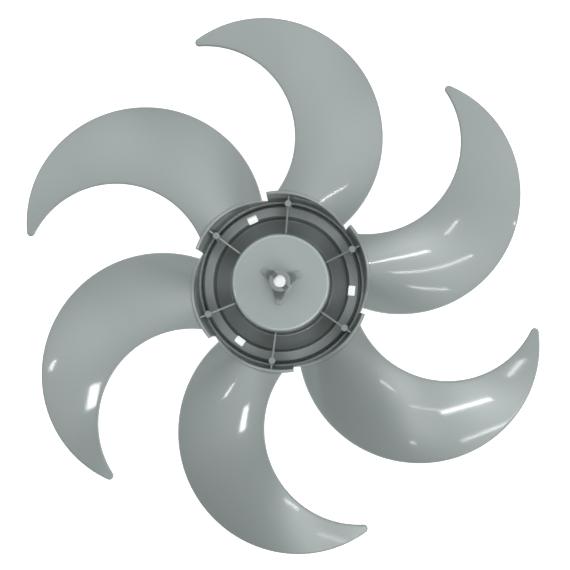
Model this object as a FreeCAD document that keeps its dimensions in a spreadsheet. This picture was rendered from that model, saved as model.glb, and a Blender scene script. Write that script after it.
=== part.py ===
import FreeCAD, Part
import Sketcher
import math
import os

# Six-bladed fan wheel for a pedestal fan, moulded in one piece. The axis of the shaft is Z,
# the motor side is up, and the front of the hub rests on Z = 0. Sizes are in millimetres and degrees.
SIZES = [
    ("blade_count", 6),
    # hub, from the bore outwards
    ("bore_radius", 4.1),
    ("collar_radius", 7.4),
    ("collar_height", 44),
    ("drive_slot_width", 3.6),
    ("drive_slot_depth", 5),
    ("drive_slot_turn", 108),
    ("nut_boss_radius", 10),
    ("nut_seat_height", 19),
    ("post_radius", 2.5),
    ("post_reach", 13.4),
    ("post_rise", 2.5),
    ("web_margin", 0.5),
    ("web_width", 11),
    ("web_end_width", 4.2),
    ("web_rise", 10),
    ("plateau_radius", 35),
    ("plateau_height", 26),
    ("plateau_bevel", 1.6),
    ("wall", 2.2),
    ("draft", 1),
    ("ledge_inner_radius", 49.1),
    ("ledge_outer_radius", 55.6),
    ("ledge_height", 12),
    ("ledge_wall", 3),
    ("channel_width", 2.2),
    ("window_width", 7),
    ("window_depth", 4.2),
    ("window_count", 3),
    ("front_ring_height", 4),
    ("groove_width", 1.6),
    ("shelf_height", 12.2),
    ("shelf_width", 0.8),
    ("shelf_step", 0.8),
    ("skirt_wall", 2.4),
    ("skirt_height", 44),
    ("skirt_flare", 5.8),
    ("front_margin", 4.2),
    ("rib_width", 1.4),
    ("rib_low", 21.5),
    ("rib_high", 38),
    ("pin_radius", 2.4),
    ("pin_inset", 0.4),
    ("pin_height", 36.5),
    # blade outline seen along the axis: two arcs and a rounded tip
    ("lead_arc_radius", 65.4),
    ("lead_arc_reach", 115.4),
    ("lead_arc_turn", 34.2),
    ("trail_arc_radius", 83.6),
    ("trail_arc_reach", 105),
    ("trail_arc_turn", 11.4),
    ("tip_round", 3),
    ("root_offset", 1.4),
    # blade surface: heights, pitch and camber from the root to the tip
    ("root_radius", 61),
    ("tip_radius", 185),
    ("blade_turn", -19.3),
    ("skew_radius", 82.6),
    ("tip_skew", 16),
    ("root_height", 33.5),
    ("tip_height", 28.5),
    ("root_pitch", 25.5),
    ("tip_pitch", 12),
    ("root_camber_radius", 50),
    ("tip_camber_radius", 350),
    ("blade_thickness", 2.6),
    ("sheet_half_width", 80),
    ("sheet_inner", 36),
    # saw-tooth rim of the skirt
    ("rim_lip", 1.5),
    ("tab_turn", 14.7),
]
SHEET_STATIONS = 7

# The skirt stands outside the ledge, so its radii follow the ledge's
SKIRT_SHELF = "sizes.ledge_outer_radius + sizes.groove_width + sizes.shelf_step"
SKIRT_TOP = "sizes.ledge_outer_radius + sizes.skirt_flare"
SKIRT_FRONT = "sizes.ledge_outer_radius + sizes.front_margin"
BLADE_ROOT = "sizes.ledge_outer_radius + sizes.root_offset"

doc = FreeCAD.newDocument("fan_blade")
sizes = doc.addObject("Spreadsheet::Sheet", "sizes")
for row, (word, value) in enumerate(SIZES, start=1):
    sizes.set("A%d" % row, word)
    sizes.set("B%d" % row, str(value))
    sizes.setAlias("B%d" % row, word)
doc.recompute()


def size(word):
    return float(sizes.get(word))


def origin_part(body, role):
    for feature in body.Origin.OriginFeatures:
        if feature.Role == role:
            return feature
    raise ValueError(role)


def new_sketch(body, name, plane):
    sketch = body.newObject("Sketcher::SketchObject", name)
    sketch.AttachmentSupport = [(origin_part(body, plane), "")]
    sketch.MapMode = "FlatFace"
    return sketch


def hold_point(sketch, line, end, across, up):
    """Ties one sketch point to its distances from the origin."""
    for kind, axis, formula in (("DistanceX", -2, across), ("DistanceY", -1, up)):
        if formula == "0":
            sketch.addConstraint(Sketcher.Constraint("PointOnObject", line, end, axis))
        else:
            start = sketch.evalExpression(formula)
            number = sketch.addConstraint(Sketcher.Constraint(kind, -1, 1, line, end, float(start)))
            sketch.setExpression("Constraints[%d]" % number, formula)


def closed_outline(sketch, corners):
    """Draws straight lines through corners given as pairs of formulas."""
    at = []
    for across, up in corners:
        here = [float(sketch.evalExpression(formula)) for formula in (across, up)]
        at.append(FreeCAD.Vector(here[0], here[1], 0))
    first = sketch.GeometryCount
    count = len(corners)
    for k in range(count):
        sketch.addGeometry(Part.LineSegment(at[k], at[(k + 1) % count]), False)
    for k in range(count):
        sketch.addConstraint(Sketcher.Constraint("Coincident", first + k, 2, first + (k + 1) % count, 1))
    for k, (across, up) in enumerate(corners):
        hold_point(sketch, first + k, 1, across, up)


def circle_at(sketch, across, up, radius):
    centre = FreeCAD.Vector(float(sketch.evalExpression(across)), float(sketch.evalExpression(up)), 0)
    start = float(sketch.evalExpression(radius))
    ring = sketch.addGeometry(Part.Circle(centre, FreeCAD.Vector(0, 0, 1), start), False)
    hold_point(sketch, ring, 3, across, up)
    number = sketch.addConstraint(Sketcher.Constraint("Radius", ring, start))
    sketch.setExpression("Constraints[%d]" % number, radius)


def around(body, name, feature, count):
    """Repeats a feature evenly about the shaft axis."""
    ring = body.newObject("PartDesign::PolarPattern", name)
    ring.Originals = [feature]
    ring.Axis = (origin_part(body, "Z_Axis"), [""])
    ring.Angle = 360
    ring.setExpression("Occurrences", count)
    body.Tip = ring
    doc.recompute()
    return ring


# Hub shell turned about the shaft axis
hub = doc.addObject("PartDesign::Body", "hub")
shell_section = new_sketch(hub, "shell_section", "XZ_Plane")
closed_outline(shell_section, [
    ("sizes.bore_radius", "sizes.collar_height"),
    ("sizes.collar_radius", "sizes.collar_height"),
    ("sizes.collar_radius", "sizes.plateau_height"),
    ("sizes.plateau_radius - sizes.plateau_bevel", "sizes.plateau_height"),
    ("sizes.plateau_radius", "sizes.plateau_height - sizes.plateau_bevel"),
    ("sizes.plateau_radius + sizes.draft", "sizes.wall"),
    ("sizes.ledge_inner_radius - sizes.draft", "sizes.wall"),
    ("sizes.ledge_inner_radius", "sizes.ledge_height"),
    ("sizes.ledge_outer_radius", "sizes.ledge_height"),
    ("sizes.ledge_outer_radius", "sizes.front_ring_height + sizes.wall"),
    ("sizes.ledge_outer_radius + sizes.groove_width", "sizes.front_ring_height + sizes.wall"),
    (SKIRT_SHELF, "sizes.shelf_height"),
    (SKIRT_SHELF + " + sizes.shelf_width", "sizes.shelf_height"),
    (SKIRT_TOP, "sizes.skirt_height"),
    (SKIRT_TOP + " + sizes.skirt_wall", "sizes.skirt_height"),
    (SKIRT_FRONT, "sizes.front_ring_height"),
    ("sizes.ledge_outer_radius - sizes.ledge_wall", "sizes.front_ring_height"),
    ("sizes.ledge_outer_radius - sizes.ledge_wall", "sizes.ledge_height - sizes.wall"),
    ("sizes.ledge_outer_radius - sizes.ledge_wall - sizes.channel_width", "sizes.ledge_height - sizes.wall"),
    ("sizes.ledge_outer_radius - sizes.ledge_wall - sizes.channel_width", "0"),
    ("sizes.plateau_radius + sizes.draft - sizes.wall", "0"),
    ("sizes.plateau_radius - sizes.wall", "sizes.plateau_height - sizes.wall"),
    ("sizes.nut_boss_radius", "sizes.plateau_height - sizes.wall"),
    ("sizes.nut_boss_radius", "sizes.nut_seat_height"),
    ("sizes.bore_radius", "sizes.nut_seat_height"),
])
shell = hub.newObject("PartDesign::Revolution", "shell")
shell.Profile = shell_section
shell.ReferenceAxis = (shell_section, ["V_Axis"])
shell.Angle = 360
doc.recompute()

# Radial ribs from the plateau wall to the skirt, each with a round ejector pin boss
rib_section = new_sketch(hub, "rib_section", "XZ_Plane")
closed_outline(rib_section, [
    ("sizes.plateau_radius - sizes.wall / 2", "sizes.rib_low"),
    (SKIRT_TOP, "sizes.rib_high"),
    (SKIRT_SHELF + " + sizes.wall / 2", "sizes.shelf_height"),
    ("sizes.ledge_outer_radius + sizes.groove_width + sizes.wall / 2",
     "sizes.front_ring_height + sizes.wall / 2"),
    ("sizes.ledge_outer_radius - sizes.wall / 2", "sizes.front_ring_height + sizes.wall / 2"),
    ("sizes.ledge_outer_radius - sizes.wall / 2", "sizes.ledge_height - sizes.wall / 2"),
    ("sizes.ledge_inner_radius + sizes.wall / 4", "sizes.ledge_height - sizes.wall / 2"),
    ("sizes.ledge_inner_radius", "sizes.wall / 2"),
    ("sizes.plateau_radius + sizes.draft - sizes.wall / 2", "sizes.wall / 2"),
])
rib = hub.newObject("PartDesign::Pad", "rib")
rib.Profile = rib_section
rib.SideType = "Symmetric"
rib.setExpression("Length", "sizes.rib_width")
doc.recompute()
around(hub, "ribs", rib, "sizes.blade_count")

pin_circle = new_sketch(hub, "pin_circle", "XY_Plane")
pin_circle.setExpression("AttachmentOffset.Base.z", "sizes.front_ring_height + sizes.wall / 2")
circle_at(pin_circle, "sizes.ledge_outer_radius - sizes.pin_inset", "0", "sizes.pin_radius")
pin = hub.newObject("PartDesign::Pad", "pin")
pin.Profile = pin_circle
pin.setExpression("Length", "sizes.pin_height - sizes.front_ring_height - sizes.wall / 2")
doc.recompute()
around(hub, "pins", pin, "sizes.blade_count")

# Posts round the collar on the plateau, each with a sloping web to the collar
post_circle = new_sketch(hub, "post_circle", "XY_Plane")
post_circle.setExpression("AttachmentOffset.Base.z", "sizes.plateau_height - sizes.wall / 2")
circle_at(post_circle, "sizes.post_reach", "0", "sizes.post_radius")
post = hub.newObject("PartDesign::Pad", "post")
post.Profile = post_circle
post.setExpression("Length", "sizes.post_rise + sizes.wall / 2")
doc.recompute()
around(hub, "posts", post, "sizes.window_count")


def web_end(name, reach, width, top):
    """Upright section of a web, across its length."""
    section = new_sketch(hub, name, "YZ_Plane")
    section.setExpression("AttachmentOffset.Base.z", reach)
    closed_outline(section, [
        ("-%s / 2" % width, "sizes.plateau_height - sizes.wall / 2"),
        ("%s / 2" % width, "sizes.plateau_height - sizes.wall / 2"),
        ("%s / 2" % width, top),
        ("-%s / 2" % width, top),
    ])
    return section


web = hub.newObject("PartDesign::AdditiveLoft", "web")
web.Profile = web_end("web_inner", "sizes.bore_radius + sizes.web_margin", "sizes.web_width",
                      "sizes.plateau_height + sizes.web_rise")
web.Sections = [web_end("web_outer", "sizes.post_reach", "sizes.web_end_width",
                        "sizes.plateau_height + sizes.post_rise / 2")]
web.Ruled = True
doc.recompute()
around(hub, "webs", web, "sizes.window_count")

# Snap windows through the ledge and the slot for the drive pin across the collar
window_outline = new_sketch(hub, "window_outline", "XY_Plane")
closed_outline(window_outline, [
    ("-sizes.window_width / 2", "sizes.ledge_inner_radius - sizes.draft / 2"),
    ("sizes.window_width / 2", "sizes.ledge_inner_radius - sizes.draft / 2"),
    ("sizes.window_width / 2", "sizes.ledge_inner_radius + sizes.window_depth"),
    ("-sizes.window_width / 2", "sizes.ledge_inner_radius + sizes.window_depth"),
])
window = hub.newObject("PartDesign::Pocket", "window")
window.Profile = window_outline
window.Type = "ThroughAll"
window.Reversed = True
doc.recompute()
around(hub, "windows", window, "sizes.window_count")

slot_outline = new_sketch(hub, "slot_outline", "XY_Plane")
slot_outline.setExpression("AttachmentOffset.Base.z", "sizes.collar_height")
slot_outline.setExpression("AttachmentOffset.Rotation.Angle", "sizes.drive_slot_turn")
closed_outline(slot_outline, [
    ("-sizes.collar_radius * 2", "-sizes.drive_slot_width / 2"),
    ("sizes.collar_radius * 2", "-sizes.drive_slot_width / 2"),
    ("sizes.collar_radius * 2", "sizes.drive_slot_width / 2"),
    ("-sizes.collar_radius * 2", "sizes.drive_slot_width / 2"),
])
drive_slot = hub.newObject("PartDesign::Pocket", "drive_slot")
drive_slot.Profile = slot_outline
drive_slot.setExpression("Length", "sizes.drive_slot_depth")
hub.Tip = drive_slot
doc.recompute()


# Blade surface: a pitched, cambered sheet whose sections are swept forward towards the tip
def between(root, tip, share):
    return size(root) + (size(tip) - size(root)) * share


def sheet_height(across, aside):
    """Height of the motor-side blade face at a point of the plan."""
    radius = math.hypot(across, aside)
    share = max((radius - size("root_radius")) / (size("tip_radius") - size("root_radius")), 0)
    sweep = (radius - size("skew_radius")) / (size("tip_radius") - size("skew_radius"))
    middle = math.radians(size("blade_turn") + size("tip_skew") * sweep**2)
    along = radius * (math.atan2(aside, across) - middle)
    pitch = math.tan(math.radians(between("root_pitch", "tip_pitch", share)))
    camber = between("root_camber_radius", "tip_camber_radius", share)
    return between("root_height", "tip_height", share) + pitch * along - along**2 / (2 * camber)


def stations(first, last):
    return [first + (last - first) * k / (SHEET_STATIONS - 1) for k in range(SHEET_STATIONS)]


reach = size("trail_arc_reach") + size("trail_arc_radius")
grid = []
for across in stations(size("sheet_inner"), reach):
    line = []
    for aside in stations(-size("sheet_half_width"), size("sheet_half_width")):
        line.append(FreeCAD.Vector(across, aside, sheet_height(across, aside)))
    grid.append(line)
curved = Part.BSplineSurface()
curved.interpolate(grid)
blade_sheet = doc.addObject("Part::Feature", "blade_sheet")
blade_sheet.Shape = curved.toShape()


def extruded(name, base, way, length):
    solid = doc.addObject("Part::Extrusion", name)
    solid.Base = base
    solid.DirMode = "Custom"
    solid.Dir = FreeCAD.Vector(0, 0, way)
    solid.setExpression("LengthFwd", length)
    solid.Solid = True
    doc.recompute()
    return solid


blade_slab = extruded("blade_slab", blade_sheet, -1, "sizes.blade_thickness")

# Sickle outline of the blade
outline = doc.addObject("Sketcher::SketchObject", "blade_outline")
up = FreeCAD.Vector(0, 0, 1)


def polar(reach, turn):
    return FreeCAD.Vector(reach * math.cos(math.radians(turn)), reach * math.sin(math.radians(turn)), 0)


def turn_of(point, centre):
    return math.atan2(point.y - centre.y, point.x - centre.x)


def circle_meets(centre, radius, root):
    """Point where an arc crosses the root circle on its clockwise side."""
    reach = centre.Length
    cosine = (reach**2 + root**2 - radius**2) / (2 * reach * root)
    turn = math.atan2(centre.y, centre.x) - math.acos(cosine)
    return FreeCAD.Vector(root * math.cos(turn), root * math.sin(turn), 0)


lead_centre = polar(size("lead_arc_reach"), size("lead_arc_turn"))
trail_centre = polar(size("trail_arc_reach"), size("trail_arc_turn"))
lead_radius = size("lead_arc_radius")
trail_radius = size("trail_arc_radius")
tip_round = size("tip_round")
root = size("ledge_outer_radius") + size("root_offset")
lead_start = circle_meets(lead_centre, lead_radius, root)
trail_start = circle_meets(trail_centre, trail_radius, root)
apart = lead_centre - trail_centre
span = apart.Length
offset = ((trail_radius - tip_round) ** 2 - (lead_radius + tip_round) ** 2 + span**2) / (2 * span)
rise = math.sqrt((trail_radius - tip_round) ** 2 - offset**2)
along_apart = apart * (1 / span)
across_apart = FreeCAD.Vector(along_apart.y, -along_apart.x, 0)
tip_centre = trail_centre + along_apart * offset + across_apart * rise
trail_tip = turn_of(tip_centre, trail_centre)
lead_tip = turn_of(tip_centre, lead_centre)
trail_arc = outline.addGeometry(Part.ArcOfCircle(
    Part.Circle(trail_centre, up, trail_radius), turn_of(trail_start, trail_centre), trail_tip), False)
tip_arc = outline.addGeometry(Part.ArcOfCircle(
    Part.Circle(tip_centre, up, tip_round), trail_tip, lead_tip + math.pi), False)
lead_arc = outline.addGeometry(Part.ArcOfCircle(
    Part.Circle(lead_centre, up, lead_radius), turn_of(lead_start, lead_centre), lead_tip), False)
root_arc = outline.addGeometry(Part.ArcOfCircle(
    Part.Circle(FreeCAD.Vector(), up, root),
    math.atan2(trail_start.y, trail_start.x), math.atan2(lead_start.y, lead_start.x)), False)
outline.addConstraint(Sketcher.Constraint("Tangent", trail_arc, 2, tip_arc, 1))
outline.addConstraint(Sketcher.Constraint("Tangent", tip_arc, 2, lead_arc, 2))
outline.addConstraint(Sketcher.Constraint("Coincident", lead_arc, 1, root_arc, 2))
outline.addConstraint(Sketcher.Constraint("Coincident", root_arc, 1, trail_arc, 1))
outline.addConstraint(Sketcher.Constraint("Coincident", root_arc, 3, -1, 1))
for arc, word in ((lead_arc, "lead_arc"), (trail_arc, "trail_arc")):
    hold_point(outline, arc, 3,
               "sizes.%s_reach * cos(sizes.%s_turn)" % (word, word),
               "sizes.%s_reach * sin(sizes.%s_turn)" % (word, word))
for arc, radius, formula in ((lead_arc, lead_radius, "sizes.lead_arc_radius"),
                             (trail_arc, trail_radius, "sizes.trail_arc_radius"),
                             (tip_arc, tip_round, "sizes.tip_round"),
                             (root_arc, root, BLADE_ROOT)):
    number = outline.addConstraint(Sketcher.Constraint("Radius", arc, radius))
    outline.setExpression("Constraints[%d]" % number, formula)
doc.recompute()
blade_prism = extruded("blade_prism", outline, 1, "sizes.skirt_height * 2")
blade_prism.setExpression("Placement.Base.z", "-sizes.skirt_height / 2")
doc.recompute()


def joined(kind, name, first, second):
    solid = doc.addObject(kind, name)
    solid.Base = first
    solid.Tool = second
    doc.recompute()
    return solid


blade_blank = joined("Part::Common", "blade_blank", blade_slab, blade_prism)

# The root stops inside the skirt wall
hub_core = doc.addObject("Part::Cone", "hub_core")
hub_core.setExpression("Radius1", SKIRT_FRONT + " - sizes.wall / 2")
hub_core.setExpression("Radius2", SKIRT_TOP + " + sizes.skirt_wall / 2")
hub_core.setExpression("Height", "sizes.skirt_height - sizes.front_ring_height")
hub_core.setExpression("Placement.Base.z", "sizes.front_ring_height")
doc.recompute()
blade = joined("Part::Cut", "blade", blade_blank, hub_core)

# Saw-tooth rim: the skirt is cut down to the line of each blade root
rim_sheet = doc.addObject("Part::Feature", "rim_sheet")
rim_sheet.Shape = blade_sheet.Shape
rim_sheet.setExpression("Placement.Base.z", "sizes.rim_lip")
rim_slab = extruded("rim_slab", rim_sheet, 1, "sizes.skirt_height")
tooth = doc.addObject("Part::Cylinder", "tooth")
tooth.setExpression("Radius", SKIRT_TOP + " + sizes.skirt_wall * 2")
tooth.setExpression("Height", "sizes.skirt_height * 2")
tooth.setExpression("Angle", "360 / sizes.blade_count")
tooth.setExpression("Placement.Rotation.Angle", "sizes.tab_turn - 360 / sizes.blade_count")
doc.recompute()
rim_block = joined("Part::Common", "rim_block", rim_slab, tooth)


def round_the_axis(name, base):
    """Places one copy of a solid for each blade, evenly about the shaft axis."""
    copies = [base]
    for k in range(1, int(size("blade_count"))):
        copy = doc.addObject("App::Link", "%s_%d" % (name, k + 1))
        copy.LinkedObject = base
        copy.setExpression("LinkPlacement.Rotation.Angle", "%d * 360 / sizes.blade_count" % k)
        copies.append(copy)
    doc.recompute()
    return copies


rim_cutters = doc.addObject("Part::MultiFuse", "rim_cutters")
rim_cutters.Shapes = round_the_axis("rim_block", rim_block)
doc.recompute()
trimmed_hub = joined("Part::Cut", "trimmed_hub", hub, rim_cutters)
fan_blade = doc.addObject("Part::MultiFuse", "fan_blade")
fan_blade.Shapes = [trimmed_hub] + round_the_axis("blade", blade)
fan_blade.Refine = False
fan_blade.Label = "fan_blade"
doc.recompute()

for thing in doc.Objects:
    if "Invalid" in thing.State or "Error" in thing.State:
        raise RuntimeError("%s does not build" % thing.Name)
    if hasattr(thing, "Shape") and thing.isDerivedFrom("Part::Feature"):
        if thing.Shape.isNull() or not thing.Shape.isValid():
            raise RuntimeError("%s has no sound shape" % thing.Name)
if len(fan_blade.Shape.Solids) != 1:
    raise RuntimeError("the wheel is not one solid")

os.makedirs("parts", exist_ok=True)
fan_blade.Shape.exportStep("parts/%s.step" % fan_blade.Label)
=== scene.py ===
import math

import bmesh
import bpy
from mathutils import Matrix, Vector


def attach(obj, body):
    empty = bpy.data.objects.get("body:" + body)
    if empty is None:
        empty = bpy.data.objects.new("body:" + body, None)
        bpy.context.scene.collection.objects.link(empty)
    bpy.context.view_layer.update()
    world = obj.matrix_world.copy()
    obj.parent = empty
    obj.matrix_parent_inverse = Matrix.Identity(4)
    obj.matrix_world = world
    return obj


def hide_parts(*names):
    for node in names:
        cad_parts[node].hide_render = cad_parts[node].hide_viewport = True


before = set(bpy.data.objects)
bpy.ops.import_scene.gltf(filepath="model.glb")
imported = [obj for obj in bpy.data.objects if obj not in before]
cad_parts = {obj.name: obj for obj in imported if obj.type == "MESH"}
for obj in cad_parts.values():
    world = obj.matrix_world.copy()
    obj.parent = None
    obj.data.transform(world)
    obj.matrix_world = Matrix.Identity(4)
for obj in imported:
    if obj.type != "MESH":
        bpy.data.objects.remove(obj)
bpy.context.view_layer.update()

# Six-bladed fan wheel, moulded in one piece, lying on the front of its hub with the motor side up.
# Lengths are in millimetres and turns in degrees until a mesh is made.
MM = 0.001
BLADES = 6
SECTOR = 360 / BLADES

# Hub, from the bore outwards
BORE, COLLAR, COLLAR_TOP = 4.1, 7.4, 44
SLOT_WIDTH, SLOT_DEPTH, SLOT_TURN = 3.6, 5, 108
NUT_BOSS, NUT_SEAT = 10, 19
POST, POST_REACH, POST_RISE = 2.5, 13.4, 2.5
WEB_MARGIN, WEB_WIDTH, WEB_END_WIDTH, WEB_RISE = 0.5, 11, 4.2, 10
PLATEAU, PLATEAU_TOP = 35, 26
WALL, DRAFT = 2.2, 1
LEDGE_INNER, LEDGE_OUTER, LEDGE_TOP, LEDGE_WALL = 49.1, 55.6, 12, 3
CHANNEL = 2.2
WINDOWS, WINDOW_WIDTH, WINDOW_DEPTH = 3, 7, 4.2
FRONT_RING = 4
GROOVE, SHELF_STEP, SHELF_TOP, SHELF_WIDTH = 1.6, 0.8, 12.2, 0.8
SKIRT_WALL, SKIRT_TOP = 2.4, 44
SKIRT_FLARE, FRONT_MARGIN = 5.8, 4.2
RIB_WIDTH, RIB_LOW, RIB_HIGH = 1.4, 21.5, 38
PIN, PIN_INSET, PIN_TOP = 2.4, 0.4, 36.5
CUT_MARGIN = 1

# Blade outline seen along the shaft, and the law of its motor-side face
LEAD_ARC, LEAD_REACH, LEAD_TURN = 65.4, 115.4, 34.2
TRAIL_ARC, TRAIL_REACH, TRAIL_TURN = 83.6, 105, 11.4
TRAIL_ROOT, LEAD_ROOT = 59.9, 62
TIP_ROUND = 3
ROOT_RADIUS, TIP_RADIUS = 61, 185
BLADE_TURN, SKEW_RADIUS, TIP_SKEW = -19.3, 82.6, 16
ROOT_HEIGHT, TIP_HEIGHT = 33.5, 28.5
ROOT_PITCH, TIP_PITCH = 25.5, 12
ROOT_CAMBER, TIP_CAMBER = 50, 350
THICKNESS = 2.6
RIM_LIP, TAB_TURN = 1.5, 14.7

# Small rounds that the mould leaves
EDGE_ROUND, RIM_ROUND, STEP_ROUND = 1.1, 0.7, 0.8
BORE_ROUND, COLLAR_ROUND, COLLAR_FOOT_ROUND = 0.3, 0.6, 0.8
DISC_ROUND, TROUGH_ROUND, LEDGE_ROUND = 2.7, 2, 0.6
GROOVE_ROUND, SHELF_ROUND, SKIRT_FOOT_ROUND, SKIRT_FRONT_ROUND = 0.4, 0.3, 0.2, 1
CHANNEL_MOUTH_ROUND, CHANNEL_ROUND, FRONT_ROUND = 0.3, 0.4, 0.5
RECESS_ROUND, BOSS_FOOT_ROUND, BOSS_ROUND = 1.5, 0.6, 0.5
PIN_ROUND, POST_ROUND, RIB_ROUND, WEB_ROUND = 0.5, 0.7, 0.35, 0.9

# Steps of the meshes
STATIONS, TIP_STATIONS = 62, 7
CHORD_STEPS, EDGE_STEPS = 26, 8
SECTOR_COLUMNS, ROUND_COLUMNS = 46, 5
ARC_STEPS, CROWN_STEPS, RING_POINTS = 5, 4, 40
RIB_ROUND_STEPS, WEB_ROUND_STEPS = 3, 4
CIRCLE_PROFILE = 0.5
RIM_PASSES = 6
MERGE = 0.0005
SHARP_TURN = 32

# Shares: of the blade's length with curved sections, of a side that a round may take, of a step's round
CURVED_SHARE = 0.45
ROUND_SHARE = 0.48
STEP_LEAN = 0.15

# Silver-grey plastic: clouds and orange-peel, pigment, gloss
CLOUD_SCALE, CLOUD_DETAIL = 14, 3
PEEL_SCALE, PEEL_DETAIL = 420, 2
PEEL_STRENGTH, PEEL_DEPTH = 0.05, 0.4
DEEP_CLOUD, DEEP_PIGMENT = 0.3, (0.268, 0.299, 0.295, 1)
PALE_CLOUD, PALE_PIGMENT = 0.7, (0.291, 0.322, 0.316, 1)
SMOOTHEST, DULLEST = 0.38, 0.43
PLASTIC_IOR, METAL_SHARE = 1.5, 0.25
COAT, COAT_ROUGHNESS = 1, 0.07

# Painted light and shade on the hub: a painted light lifting the raised disc, painted shade darkening the
# trough and webs, and the lengths over which they fade
DISC_PAINTED_LIGHT, PAINTED_SHADE_DROP = 0.45, 0.25
DISC_EDGE_FADE, DISC_FACE_FADE = 1.5, 0.5
WEB_FOOT_FADE = 1
COLLAR_FADE_START, COLLAR_FADE_END = 1, 4
TROUGH_FADE = 0.4
TROUGH_TOP_FADE, TROUGH_LEDGE_FADE = 3, 4

# Studio over the motor side; lamp places and sizes, and the nearest and farthest seen, are in metres
PAPER_TONE = (0.9, 0.9, 0.9, 1)
PAPER_ROUGHNESS, PAPER_GLOSS = 0.9, 0.1
PAPER_GLOW, PAPER_GLOW_TINT = 0.75, (1, 1, 1, 1)
FLOOR_REACH, FLOOR_DROP = 30000, 0.3
SKY_TINT, SKY_GLOW = (0.97, 1, 1, 1), 0.02
LAMP_HEIGHT, AIM_HEIGHT = 1, 0.03
PICTURE, PICTURE_TURN = 570, 24.2
MM_PER_PIXEL = 0.706
MIDDLE_HEIGHT = 27
HUB_PIXEL = (280.5, 282.4)
CAMERA_REACH, CAMERA_TILT, CAMERA_SIDE = 706, 3.2, 1.9
SENSOR = 36
NEAREST_SEEN, FARTHEST_SEEN = 0.01, 20

# Lamps: place to the picture's right and top, width round the wheel, height, glow
LAMPS = {
    "lower_strip": (-0.16, -0.57, 0.1, 0.014, 15),
    "near_lower_strip": (0.1, -0.655, 0.22, 0.01, 8),
    "lower_right_lamp": (0.355, -0.572, 0.34, 0.022, 24),
    "near_right_strip": (0.6, -0.23, 0.14, 0.012, 20),
    "far_right_strip": (0.57, -0.73, 0.6, 0.012, 20),
    "far_lower_lamp": (-0.05, -1.03, 0.05, 0.014, 16),
    "outer_right_strip": (0.54, -1.13, 0.3, 0.012, 20),
    "left_lamp": (-0.68, -0.11, 0.15, 0.06, 22),
    "far_left_strip": (-1.17, 0.2, 0.08, 0.03, 20),
    "side_strip": (1.3, -0.3, 0.02, 0.2, 20),
}

# Broad soft lights: angle from straight above, turn from the picture's right, strength, narrowness
SOFT_LIGHTS = (
    (46, 180, 0.5, 24),
    (44, 150, 1.8, 24),
    (44, 105, 1.8, 24),
    (44, 60, 1.4, 24),
    (44, 15, 1.6, 24),
    (44, -30, 1.1, 24),
    (44, -65, 0.9, 24),
    (62, 0, 1.2, 24),
    (62, -45, 0.6, 24),
    (62, 60, 0.6, 24),
    (26, -60, 0.4, 24),
    (26, 45, 0.8, 24),
    (26, 120, 0.4, 24),
    (25, -105, 3.4, 100),
    (37, -96, 1.8, 120),
    (31, -138, 0.3, 80),
    (28, -52, 2.6, 100),
    (31, -170, 0.45, 80),
)


def polar(reach, turn):
    return Vector((reach * math.cos(math.radians(turn)), reach * math.sin(math.radians(turn))))


def face_height(x, y):
    """Height of the motor-side face of the first blade over a point of the plan."""
    radius = math.hypot(x, y)
    share = max((radius - ROOT_RADIUS) / (TIP_RADIUS - ROOT_RADIUS), 0)
    sweep = (radius - SKEW_RADIUS) / (TIP_RADIUS - SKEW_RADIUS)
    middle = math.radians(BLADE_TURN + TIP_SKEW * sweep**2)
    along = radius * (math.atan2(y, x) - middle)
    pitch = math.tan(math.radians(ROOT_PITCH + (TIP_PITCH - ROOT_PITCH) * share))
    camber = ROOT_CAMBER + (TIP_CAMBER - ROOT_CAMBER) * share
    return ROOT_HEIGHT + (TIP_HEIGHT - ROOT_HEIGHT) * share + pitch * along - along**2 / (2 * camber)


def new_piece(name, bm):
    """Turns a bmesh in millimetres into an object in metres."""
    bmesh.ops.remove_doubles(bm, verts=bm.verts, dist=MERGE)
    bmesh.ops.dissolve_degenerate(bm, edges=bm.edges, dist=MERGE)
    bmesh.ops.recalc_face_normals(bm, faces=bm.faces)
    bmesh.ops.scale(bm, vec=(MM, MM, MM), verts=bm.verts)
    mesh = bpy.data.meshes.new(name)
    bm.to_mesh(mesh)
    bm.free()
    piece = bpy.data.objects.new(name, mesh)
    bpy.context.scene.collection.objects.link(piece)
    return piece


def skin(bm, loops, closed):
    """Quads between neighbouring closed loops; closed also joins the last loop to the first."""
    rows = [[bm.verts.new(point) for point in loop] for loop in loops]
    pairs = list(zip(rows, rows[1:]))
    if closed:
        pairs.append((rows[-1], rows[0]))
    for here, there in pairs:
        count = len(here)
        for k in range(count):
            after = (k + 1) % count
            bm.faces.new((here[k], here[after], there[after], there[k]))
    return rows


def repeat_round(bm, count):
    """Copies what is in the bmesh evenly about the shaft."""
    first = bm.verts[:] + bm.edges[:] + bm.faces[:]
    for k in range(1, count):
        copy = bmesh.ops.duplicate(bm, geom=first)
        points = [g for g in copy["geom"] if isinstance(g, bmesh.types.BMVert)]
        turn = Matrix.Rotation(2 * math.pi * k / count, 3, "Z")
        bmesh.ops.rotate(bm, verts=points, cent=(0, 0, 0), matrix=turn)


# Blades
def arc_start(centre, radius, root):
    """Direction, seen from an arc's centre, of its clockwise crossing with the root circle."""
    reach = centre.length
    cosine = (reach**2 + root**2 - radius**2) / (2 * reach * root)
    turn = math.atan2(centre.y, centre.x) - math.acos(cosine)
    point = Vector((root * math.cos(turn), root * math.sin(turn))) - centre
    return math.atan2(point.y, point.x)


def tip_centre_point():
    """Centre of the tip's arc, which lies inside the trailing arc and outside the leading one."""
    apart = lead_centre - trail_centre
    span = apart.length
    trail, lead = TRAIL_ARC - TIP_ROUND, LEAD_ARC + TIP_ROUND
    offset = (trail**2 - lead**2 + span**2) / (2 * span)
    rise = math.sqrt(trail**2 - offset**2)
    along = apart / span
    return trail_centre + along * offset + Vector((along.y, -along.x)) * rise


def direction(point, centre):
    return math.atan2(point.y - centre.y, point.x - centre.x)


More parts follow.
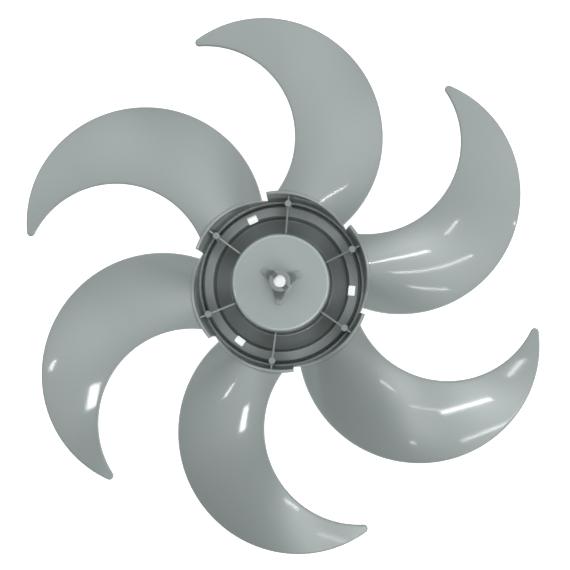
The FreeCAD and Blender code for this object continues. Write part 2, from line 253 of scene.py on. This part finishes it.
def on_circle(centre, radius, turn):
    return centre + Vector((math.cos(turn), math.sin(turn))) * radius


lead_centre = polar(LEAD_REACH, LEAD_TURN)
trail_centre = polar(TRAIL_REACH, TRAIL_TURN)
tip_centre = tip_centre_point()
trail_from = arc_start(trail_centre, TRAIL_ARC, TRAIL_ROOT)
trail_to = direction(tip_centre, trail_centre)
lead_from = arc_start(lead_centre, LEAD_ARC, LEAD_ROOT)
lead_to = direction(tip_centre, lead_centre)


def edge_points(share, inset):
    """Points of the two edges, drawn in by inset: share runs to 1 at the tip's arc and to 2 at its end."""
    if share <= 1:
        trail_turn = trail_from + (trail_to - trail_from) * share
        lead_turn = lead_from + (lead_to - lead_from) * share
        return (on_circle(trail_centre, TRAIL_ARC - inset, trail_turn),
                on_circle(lead_centre, LEAD_ARC + inset, lead_turn))
    half = (lead_to + math.pi - trail_to) / 2 * (share - 1)
    return (on_circle(tip_centre, TIP_ROUND - inset, trail_to + half),
            on_circle(tip_centre, TIP_ROUND - inset, lead_to + math.pi - half))


def chord_point(trail, lead, across, share):
    """Point between the edges: on a circle about the shaft at the root, on a straight chord further out."""
    straight = trail.lerp(lead, across)
    bend = max(1 - share / CURVED_SHARE, 0)
    bend = bend * bend * (3 - 2 * bend)
    reach = trail.length + (lead.length - trail.length) * across
    first, last = math.atan2(trail.y, trail.x), math.atan2(lead.y, lead.x)
    turn = first + (last - first) * across
    curved = Vector((reach * math.cos(turn), reach * math.sin(turn)))
    return straight.lerp(curved, bend)


def blade_section(share):
    """Closed loop round one section: rear face, leading edge, front face, trailing edge."""
    rear, front, lead_edge, trail_edge = [], [], [], []
    trail, lead = edge_points(share, EDGE_ROUND)
    for k in range(CHORD_STEPS + 1):
        spot = chord_point(trail, lead, k / CHORD_STEPS, share)
        top = face_height(spot.x, spot.y)
        rear.append((spot.x, spot.y, top))
        front.append((spot.x, spot.y, top - THICKNESS))
    for k in range(1, EDGE_STEPS):
        turn = math.pi / 2 - math.pi * k / EDGE_STEPS
        drawn_in = EDGE_ROUND * (1 - math.cos(turn))
        drop = EDGE_ROUND if turn > 0 else THICKNESS - EDGE_ROUND
        if k == EDGE_STEPS // 2:
            drop = THICKNESS / 2
        for edge, spot in zip((trail_edge, lead_edge), edge_points(share, drawn_in)):
            high = face_height(spot.x, spot.y) - drop + EDGE_ROUND * math.sin(turn)
            edge.append((spot.x, spot.y, high))
    return rear + lead_edge + front[::-1] + trail_edge[::-1]


def make_blades():
    bm = bmesh.new()
    shares = [k / STATIONS for k in range(STATIONS + 1)]
    shares += [1 + k / TIP_STATIONS for k in range(1, TIP_STATIONS + 1)]
    rows = skin(bm, [blade_section(share) for share in shares], closed=False)
    bm.faces.new(rows[0])
    bmesh.ops.remove_doubles(bm, verts=bm.verts, dist=MERGE)
    repeat_round(bm, BLADES)
    return new_piece("blades", bm)


# Hub shell
SHELF_INNER = LEDGE_OUTER + GROOVE + SHELF_STEP
SKIRT_FOOT = SHELF_INNER + SHELF_WIDTH
SKIRT_MOUTH = LEDGE_OUTER + SKIRT_FLARE
SKIRT_FRONT = LEDGE_OUTER + FRONT_MARGIN
CHANNEL_OUTER = LEDGE_OUTER - LEDGE_WALL
CHANNEL_INNER = CHANNEL_OUTER - CHANNEL


def skirt_inside(height):
    return SKIRT_FOOT + (SKIRT_MOUTH - SKIRT_FOOT) * (height - SHELF_TOP) / (SKIRT_TOP - SHELF_TOP)


def skirt_outside(height):
    flare = SKIRT_MOUTH + SKIRT_WALL - SKIRT_FRONT
    return SKIRT_FRONT + flare * (height - FRONT_RING) / (SKIRT_TOP - FRONT_RING)


def rim_height(turn, side):
    """Height of the rim over one wall of the skirt, within the sector of the first blade."""
    height = ROOT_HEIGHT
    for _ in range(RIM_PASSES):
        spot = polar(side(height), turn)
        height = face_height(spot.x, spot.y) + RIM_LIP
    return height


def softened(corners):
    """Closed outline with each corner of (radius, height, round) turned into an arc."""
    points = []
    count = len(corners)
    for k, (r, z, size) in enumerate(corners):
        here = Vector((r, z))
        before = Vector(corners[k - 1][:2]) - here
        after = Vector(corners[(k + 1) % count][:2]) - here
        half = before.angle(after) / 2
        back = min(size / math.tan(half), before.length * ROUND_SHARE, after.length * ROUND_SHARE)
        radius = back * math.tan(half)
        centre = here + (before.normalized() + after.normalized()).normalized() * (radius / math.sin(half))
        first = here + before.normalized() * back - centre
        last = here + after.normalized() * back - centre
        sweep = first.angle_signed(last)
        start = math.atan2(first.y, first.x)
        for step in range(ARC_STEPS + 1):
            turn = start - sweep * step / ARC_STEPS
            points.append(centre + Vector((math.cos(turn), math.sin(turn))) * radius)
    return points


def shell_outline(rim_inner, rim_outer):
    """Section of the hub from the bore over the motor side to the rim, and back along the front."""
    return softened([
        (BORE, COLLAR_TOP, BORE_ROUND),
        (COLLAR, COLLAR_TOP, COLLAR_ROUND),
        (COLLAR, PLATEAU_TOP, COLLAR_FOOT_ROUND),
        (PLATEAU, PLATEAU_TOP, DISC_ROUND),
        (PLATEAU + DRAFT, WALL, TROUGH_ROUND),
        (LEDGE_INNER - DRAFT, WALL, TROUGH_ROUND),
        (LEDGE_INNER, LEDGE_TOP, LEDGE_ROUND),
        (LEDGE_OUTER, LEDGE_TOP, LEDGE_ROUND),
        (LEDGE_OUTER, FRONT_RING + WALL, GROOVE_ROUND),
        (LEDGE_OUTER + GROOVE, FRONT_RING + WALL, GROOVE_ROUND),
        (SHELF_INNER, SHELF_TOP, SHELF_ROUND),
        (SKIRT_FOOT, SHELF_TOP, SKIRT_FOOT_ROUND),
        (skirt_inside(rim_inner), rim_inner, RIM_ROUND),
        (skirt_outside(rim_outer), rim_outer, RIM_ROUND),
        (SKIRT_FRONT, FRONT_RING, SKIRT_FRONT_ROUND),
        (CHANNEL_OUTER, FRONT_RING, CHANNEL_MOUTH_ROUND),
        (CHANNEL_OUTER, LEDGE_TOP - WALL, CHANNEL_ROUND),
        (CHANNEL_INNER, LEDGE_TOP - WALL, CHANNEL_ROUND),
        (CHANNEL_INNER, 0, FRONT_ROUND),
        (PLATEAU + DRAFT - WALL, 0, FRONT_ROUND),
        (PLATEAU - WALL, PLATEAU_TOP - WALL, RECESS_ROUND),
        (NUT_BOSS, PLATEAU_TOP - WALL, BOSS_FOOT_ROUND),
        (NUT_BOSS, NUT_SEAT, BOSS_ROUND),
        (BORE, NUT_SEAT, BORE_ROUND),
    ])


def rim_columns():
    """Turn and rim heights of each column of one sector, ending with the rounded step after the tab."""
    to_turn = math.degrees(STEP_ROUND / SKIRT_MOUTH)
    low_turn = TAB_TURN - SECTOR
    columns = []
    for k in range(SECTOR_COLUMNS + 1):
        turn = low_turn + to_turn + (SECTOR - 2 * to_turn) * k / SECTOR_COLUMNS
        columns.append((turn, rim_height(turn, skirt_inside), rim_height(turn, skirt_outside)))
    high = columns[-1][1:]
    low = columns[0][1:]
    lean = STEP_LEAN * to_turn
    for k in range(1, ROUND_COLUMNS + 1):
        bend = math.pi / 2 * k / ROUND_COLUMNS
        drop = STEP_ROUND * (1 - math.cos(bend))
        turn = TAB_TURN - to_turn + (to_turn - lean) * math.sin(bend)
        columns.append((turn, high[0] - drop, high[1] - drop))
    for k in range(ROUND_COLUMNS):
        bend = math.pi / 2 * k / ROUND_COLUMNS
        lift = STEP_ROUND * (1 - math.sin(bend))
        turn = TAB_TURN + lean + (to_turn - lean) * (1 - math.cos(bend))
        columns.append((turn, low[0] + lift, low[1] + lift))
    return columns


def make_hub():
    loops = []
    outlines = [(turn, shell_outline(inner, outer)) for turn, inner, outer in rim_columns()]
    for k in range(BLADES):
        for turn, outline in outlines:
            spin = math.radians(turn + k * SECTOR)
            loops.append([(p.x * math.cos(spin), p.x * math.sin(spin), p.y) for p in outline])
    bm = bmesh.new()
    skin(bm, loops, closed=True)
    return new_piece("fan_wheel", bm)


# Pins, posts, ribs and webs
def raised(bm, outline, low, high, soft):
    """Block over an outline in the plan, with its upper edge rounded by soft."""
    loops = [[(x, y, low) for x, y in outline]]
    centre = sum((Vector(p) for p in outline), Vector((0, 0))) / len(outline)
    for k in range(CROWN_STEPS + 1):
        bend = math.pi / 2 * k / CROWN_STEPS
        ring = []
        for x, y in outline:
            away = Vector((x, y)) - centre
            drawn = away * (1 - soft * (1 - math.cos(bend)) / away.length)
            ring.append((centre.x + drawn.x, centre.y + drawn.y, high - soft + soft * math.sin(bend)))
        loops.append(ring)
    rows = skin(bm, loops, closed=False)
    bm.faces.new(rows[0])
    bm.faces.new(rows[-1])


def ring_outline(reach, radius):
    turns = [2 * math.pi * k / RING_POINTS for k in range(RING_POINTS)]
    return [(reach + radius * math.cos(turn), radius * math.sin(turn)) for turn in turns]


def make_pins():
    bm = bmesh.new()
    raised(bm, ring_outline(LEDGE_OUTER - PIN_INSET, PIN), FRONT_RING + WALL / 2, PIN_TOP, PIN_ROUND)
    repeat_round(bm, BLADES)
    return new_piece("pins", bm)


def make_posts():
    bm = bmesh.new()
    top = PLATEAU_TOP + POST_RISE
    raised(bm, ring_outline(POST_REACH, POST), PLATEAU_TOP - WALL / 2, top, POST_ROUND)
    repeat_round(bm, WINDOWS)
    return new_piece("posts", bm)


def make_ribs():
    """Upright plates from the disc to the skirt, with the edges of their sides rounded."""
    outline = (
        (PLATEAU - WALL / 2, RIB_LOW),
        (SKIRT_MOUTH, RIB_HIGH),
        (SHELF_INNER + WALL / 2, SHELF_TOP),
        (LEDGE_OUTER + GROOVE + WALL / 2, FRONT_RING + WALL / 2),
        (LEDGE_OUTER - WALL / 2, FRONT_RING + WALL / 2),
        (LEDGE_OUTER - WALL / 2, LEDGE_TOP - WALL / 2),
        (LEDGE_INNER + WALL / 4, LEDGE_TOP - WALL / 2),
        (LEDGE_INNER, WALL / 2),
        (PLATEAU + DRAFT - WALL / 2, WALL / 2),
    )
    bm = bmesh.new()
    half = RIB_WIDTH / 2
    rows = skin(bm, [[(r, y, z) for r, z in outline] for y in (-half, half)], closed=False)
    bm.faces.new(rows[0])
    bm.faces.new(rows[1])
    bmesh.ops.recalc_face_normals(bm, faces=bm.faces)
    sides = [e for e in bm.edges if e.verts[0].co.y == e.verts[1].co.y]
    bmesh.ops.bevel(bm, geom=sides, offset=RIB_ROUND, segments=RIB_ROUND_STEPS, affect="EDGES",
                    profile=CIRCLE_PROFILE)
    repeat_round(bm, BLADES)
    return new_piece("ribs", bm)


def make_webs():
    """Sloping blocks from the collar down to the posts, with their upper edges rounded."""
    bm = bmesh.new()
    base = PLATEAU_TOP - WALL / 2
    ends = ((BORE + WEB_MARGIN, WEB_WIDTH / 2, PLATEAU_TOP + WEB_RISE),
            (POST_REACH, WEB_END_WIDTH / 2, PLATEAU_TOP + POST_RISE / 2))
    sections = [[(x, -half, base), (x, half, base), (x, half, top), (x, -half, top)]
                for x, half, top in ends]
    rows = skin(bm, sections, closed=False)
    bm.faces.new(rows[0])
    bm.faces.new(rows[1])
    bmesh.ops.recalc_face_normals(bm, faces=bm.faces)
    sloping = [e for e in bm.edges if e.verts[0].co.x != e.verts[1].co.x
               and min(v.co.z for v in e.verts) > PLATEAU_TOP]
    bmesh.ops.bevel(bm, geom=sloping, offset=WEB_ROUND, segments=WEB_ROUND_STEPS, affect="EDGES",
                    profile=CIRCLE_PROFILE)
    repeat_round(bm, WINDOWS)
    return new_piece("webs", bm)


# Windows of the ledge and slot of the collar
def block(bm, low, high):
    """Box between two opposite corners."""
    corners = []
    for x in (low[0], high[0]):
        for y in (low[1], high[1]):
            corners += [bm.verts.new((x, y, z)) for z in (low[2], high[2])]
    for a, b, c, d in ((0, 1, 3, 2), (4, 6, 7, 5), (0, 4, 5, 1), (2, 3, 7, 6), (0, 2, 6, 4), (1, 5, 7, 3)):
        bm.faces.new((corners[a], corners[b], corners[c], corners[d]))
    return corners


def make_cutters():
    bm = bmesh.new()
    half = WINDOW_WIDTH / 2
    window_low = (-half, LEDGE_INNER - DRAFT / 2, -CUT_MARGIN)
    window_high = (half, LEDGE_INNER + WINDOW_DEPTH, LEDGE_TOP + CUT_MARGIN)
    block(bm, window_low, window_high)
    repeat_round(bm, WINDOWS)
    half = SLOT_WIDTH / 2
    slot_low = (-2 * COLLAR, -half, COLLAR_TOP - SLOT_DEPTH)
    slot_high = (2 * COLLAR, half, COLLAR_TOP + CUT_MARGIN)
    slot = block(bm, slot_low, slot_high)
    turn = Matrix.Rotation(math.radians(SLOT_TURN), 3, "Z")
    bmesh.ops.rotate(bm, verts=slot, cent=(0, 0, 0), matrix=turn)
    return new_piece("cutters", bm)


def join_moulding(hub, added, cutters):
    """Makes one closed moulding of the hub and what grows out of it."""
    for piece, operation in [(p, "UNION") for p in added] + [(cutters, "DIFFERENCE")]:
        boolean = hub.modifiers.new(piece.name, "BOOLEAN")
        boolean.operation = operation
        boolean.solver = "MANIFOLD"
        boolean.object = piece
    bpy.context.view_layer.update()
    graph = bpy.context.evaluated_depsgraph_get()
    whole = bpy.data.meshes.new_from_object(hub.evaluated_get(graph))
    hub.modifiers.clear()
    hub.data = whole
    for piece in added + [cutters]:
        bpy.data.objects.remove(piece)
    for polygon in whole.polygons:
        polygon.use_smooth = True
    whole.set_sharp_from_angle(angle=math.radians(SHARP_TURN))
    whole.name = hub.name
    evened = hub.modifiers.new("evened_shading", "WEIGHTED_NORMAL")
    evened.keep_sharp = True
    return hub


shell = make_hub()
grown = [make_blades(), make_ribs(), make_pins(), make_posts(), make_webs()]
wheel = join_moulding(shell, grown, make_cutters())
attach(wheel, "root")
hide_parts("fan_blade")


# Silver-grey moulded plastic
def calculated(tree, operation, first, second):
    """Result of one calculation on two values, each a socket or a number."""
    step = tree.nodes.new("ShaderNodeMath")
    step.operation = operation
    for socket, value in zip(step.inputs, (first, second)):
        if isinstance(value, bpy.types.NodeSocket):
            tree.links.new(value, socket)
        else:
            socket.default_value = value
    return step.outputs["Value"]


def pigment_flow_group():
    """Faint clouds of pigment and the fine orange-peel of a moulded face."""
    group = bpy.data.node_groups.new("pigment_flow", "ShaderNodeTree")
    face = group.interface
    for name in ("Cloud Scale", "Peel Scale"):
        face.new_socket(name, in_out="INPUT", socket_type="NodeSocketFloat")
    for name in ("Cloud", "Peel"):
        face.new_socket(name, in_out="OUTPUT", socket_type="NodeSocketFloat")
    nodes, links = group.nodes, group.links
    start = nodes.new("NodeGroupInput")
    end = nodes.new("NodeGroupOutput")
    place = nodes.new("ShaderNodeTexCoord")
    for name, detail in (("Cloud", CLOUD_DETAIL), ("Peel", PEEL_DETAIL)):
        noise = nodes.new("ShaderNodeTexNoise")
        noise.inputs["Detail"].default_value = detail
        links.new(place.outputs["Object"], noise.inputs["Vector"])
        links.new(start.outputs[name + " Scale"], noise.inputs["Scale"])
        links.new(noise.outputs["Fac"], end.inputs[name])
    return group


def hub_painted_light_group():
    """Painted light and shade on the hub: painted light lifts the raised disc, painted shade darkens the
    trough and the webs.
    """
    group = bpy.data.node_groups.new("hub_painted_light", "ShaderNodeTree")
    group.interface.new_socket("Painted Light And Shade", in_out="OUTPUT", socket_type="NodeSocketFloat")
    nodes, links = group.nodes, group.links
    end = nodes.new("NodeGroupOutput")
    place = nodes.new("ShaderNodeTexCoord")
    parts = nodes.new("ShaderNodeSeparateXYZ")
    flat = nodes.new("ShaderNodeVectorMath")
    flat.operation = "MULTIPLY"
    flat.inputs[1].default_value = (1, 1, 0)
    reach = nodes.new("ShaderNodeVectorMath")
    reach.operation = "LENGTH"
    links.new(place.outputs["Object"], parts.inputs["Vector"])
    links.new(place.outputs["Object"], flat.inputs[0])
    links.new(flat.outputs["Vector"], reach.inputs[0])
    radius, height = reach.outputs["Value"], parts.outputs["Z"]

    def faded(value, none, full):
        fade = nodes.new("ShaderNodeMapRange")
        fade.inputs["From Min"].default_value = none * MM
        fade.inputs["From Max"].default_value = full * MM
        links.new(value, fade.inputs["Value"])
        return fade.outputs["Result"]

    def masked(first, *others):
        mask = faded(*first)
        for other in others:
            mask = calculated(group, "MULTIPLY", mask, faded(*other))
        return mask

    # Painted light: the raised disc's colour is lifted, standing in for the light that falls on it
    disc_painted_light = masked((radius, PLATEAU + DRAFT, PLATEAU),
                  (height, PLATEAU_TOP - DISC_EDGE_FADE, PLATEAU_TOP - DISC_FACE_FADE),
                  (height, PLATEAU_TOP + 2 * POST_RISE, PLATEAU_TOP + DISC_FACE_FADE))
    # Painted shade: the webs between the collar and the posts are darkened where shade falls among them
    webs = masked((radius, POST_REACH + POST, POST_REACH - POST),
                  (height, PLATEAU_TOP + WEB_FOOT_FADE, PLATEAU_TOP + POST_RISE),
                  (height, COLLAR_TOP - COLLAR_FADE_START, COLLAR_TOP - COLLAR_FADE_END))
    # Painted shade: the deep trough round the disc is darkened where little light reaches
    trough_painted_shade = masked((radius, PLATEAU, PLATEAU + DRAFT),
                    (radius, LEDGE_INNER + TROUGH_FADE, LEDGE_INNER - DRAFT / 2),
                    (height, PLATEAU_TOP - TROUGH_TOP_FADE, LEDGE_TOP - TROUGH_LEDGE_FADE),
                    (height, WALL / 2, WALL - TROUGH_FADE))
    # Painted shade of the trough and webs, taken off the lifted tone
    deep = calculated(group, "MAXIMUM", trough_painted_shade, webs)
    painted_light_lifted = calculated(group, "ADD", calculated(group, "MULTIPLY", disc_painted_light, DISC_PAINTED_LIGHT), 1)
    painted_shade_dropped = calculated(group, "MULTIPLY", deep, PAINTED_SHADE_DROP)
    links.new(calculated(group, "SUBTRACT", painted_light_lifted, painted_shade_dropped), end.inputs["Painted Light And Shade"])
    return group


def silver_grey_plastic():
    material = bpy.data.materials.new("silver_grey_plastic")
    material.use_nodes = True
    nodes, links = material.node_tree.nodes, material.node_tree.links
    shader = nodes["Principled BSDF"]
    flow = nodes.new("ShaderNodeGroup")
    flow.node_tree = pigment_flow_group()
    flow.inputs["Cloud Scale"].default_value = CLOUD_SCALE
    flow.inputs["Peel Scale"].default_value = PEEL_SCALE
    pigment = nodes.new("ShaderNodeValToRGB")
    deep, pale = pigment.color_ramp.elements
    deep.position, deep.color = DEEP_CLOUD, DEEP_PIGMENT
    pale.position, pale.color = PALE_CLOUD, PALE_PIGMENT
    links.new(flow.outputs["Cloud"], pigment.inputs["Fac"])
    # Painted light and shade of the hub, multiplied into the pigment
    hub = nodes.new("ShaderNodeGroup")
    hub.node_tree = hub_painted_light_group()
    shade = nodes.new("ShaderNodeMix")
    shade.data_type = "RGBA"
    shade.blend_type = "MULTIPLY"
    shade.inputs["Factor"].default_value = 1
    plain, painted_light_and_shade = [socket for socket in shade.inputs if socket.type == "RGBA"]
    links.new(pigment.outputs["Color"], plain)
    links.new(hub.outputs["Painted Light And Shade"], painted_light_and_shade)
    shaded = next(socket for socket in shade.outputs if socket.type == "RGBA")
    links.new(shaded, shader.inputs["Base Color"])
    gloss = nodes.new("ShaderNodeMapRange")
    gloss.inputs["To Min"].default_value = SMOOTHEST
    gloss.inputs["To Max"].default_value = DULLEST
    links.new(flow.outputs["Cloud"], gloss.inputs["Value"])
    links.new(gloss.outputs["Result"], shader.inputs["Roughness"])
    bump = nodes.new("ShaderNodeBump")
    bump.inputs["Strength"].default_value = PEEL_STRENGTH
    bump.inputs["Distance"].default_value = PEEL_DEPTH * MM
    links.new(flow.outputs["Peel"], bump.inputs["Height"])
    links.new(bump.outputs["Normal"], shader.inputs["Normal"])
    shader.inputs["IOR"].default_value = PLASTIC_IOR
    shader.inputs["Metallic"].default_value = METAL_SHARE
    shader.inputs["Coat Weight"].default_value = COAT
    shader.inputs["Coat Roughness"].default_value = COAT_ROUGHNESS
    return material


wheel.data.materials.clear()
wheel.data.materials.append(silver_grey_plastic())

# Studio
right = polar(1, -PICTURE_TURN).to_3d()
up = polar(1, 90 - PICTURE_TURN).to_3d()
rear = Vector((0, 0, 1))


def from_picture(across, along, away):
    """Point given by its metres to the picture's right, to its top and towards the viewer."""
    return right * across + up * along + rear * away


def make_floor():
    bm = bmesh.new()
    bmesh.ops.create_grid(bm, x_segments=1, y_segments=1, size=FLOOR_REACH)
    bmesh.ops.translate(bm, vec=(0, 0, -FLOOR_DROP), verts=bm.verts)
    floor = new_piece("floor", bm)
    paper = bpy.data.materials.new("white_paper")
    paper.use_nodes = True
    shader = paper.node_tree.nodes["Principled BSDF"]
    shader.inputs["Base Color"].default_value = PAPER_TONE
    shader.inputs["Roughness"].default_value = PAPER_ROUGHNESS
    shader.inputs["Specular IOR Level"].default_value = PAPER_GLOSS
    shader.inputs["Emission Color"].default_value = PAPER_GLOW_TINT
    shader.inputs["Emission Strength"].default_value = PAPER_GLOW
    floor.data.materials.append(paper)


def add_lamp(name, across, along, width, height, glow):
    """Lamp that faces the hub from above and is as bright as its glow, whatever its size."""
    lamp = bpy.data.lights.new(name, "AREA")
    lamp.shape = "RECTANGLE"
    lamp.size, lamp.size_y = width, height
    lamp.energy = glow * math.pi * width * height
    spot = from_picture(across, along, LAMP_HEIGHT)
    aim = from_picture(0, 0, AIM_HEIGHT)
    stand = bpy.data.objects.new(name, lamp)
    stand.location = spot
    stand.rotation_euler = (aim - spot).to_track_quat("-Z", "Y").to_euler()
    bpy.context.scene.collection.objects.link(stand)


def light_dome():
    """World whose brightness is the sum of the broad soft lights."""
    world = bpy.data.worlds.new("light_dome")
    world.use_nodes = True
    tree = world.node_tree
    place = tree.nodes.new("ShaderNodeTexCoord")
    total = SKY_GLOW
    for from_zenith, turn, strength, narrowness in SOFT_LIGHTS:
        flat = polar(math.sin(math.radians(from_zenith)), turn)
        toward = tree.nodes.new("ShaderNodeVectorMath")
        toward.operation = "DOT_PRODUCT"
        toward.inputs[1].default_value = from_picture(flat.x, flat.y, math.cos(math.radians(from_zenith)))
        tree.links.new(place.outputs["Generated"], toward.inputs[0])
        ahead = calculated(tree, "MAXIMUM", toward.outputs["Value"], 0)
        glow = calculated(tree, "POWER", ahead, narrowness)
        total = calculated(tree, "ADD", total, calculated(tree, "MULTIPLY", glow, strength))
    sky = tree.nodes["Background"]
    sky.inputs["Color"].default_value = SKY_TINT
    tree.links.new(total, sky.inputs["Strength"])
    bpy.context.scene.world = world


def make_camera():
    lens = bpy.data.cameras.new("camera")
    lens.sensor_width = SENSOR
    lens.lens = SENSOR * CAMERA_REACH / (PICTURE * MM_PER_PIXEL)
    lens.clip_start, lens.clip_end = NEAREST_SEEN, FARTHEST_SEEN
    camera = bpy.data.objects.new("camera", lens)
    bpy.context.scene.collection.objects.link(camera)
    tilted = up * math.tan(math.radians(CAMERA_TILT))
    aside = right * math.tan(math.radians(CAMERA_SIDE))
    back = (rear - tilted + aside).normalized()
    top = (up - back * up.dot(back)).normalized()
    side = top.cross(back)
    drift_right = (PICTURE / 2 - HUB_PIXEL[0]) * MM_PER_PIXEL
    drift_down = (PICTURE / 2 - HUB_PIXEL[1]) * MM_PER_PIXEL
    spot = rear * MIDDLE_HEIGHT + back * CAMERA_REACH + side * drift_right - top * drift_down
    turn = Matrix((side, top, back)).transposed()
    camera.matrix_world = Matrix.Translation(spot * MM) @ turn.to_4x4()
    bpy.context.scene.camera = camera


make_floor()
for lamp_name, lamp_sizes in LAMPS.items():
    add_lamp(lamp_name, *lamp_sizes)
light_dome()
bpy.context.scene.view_settings.view_transform = "Standard"
make_camera()
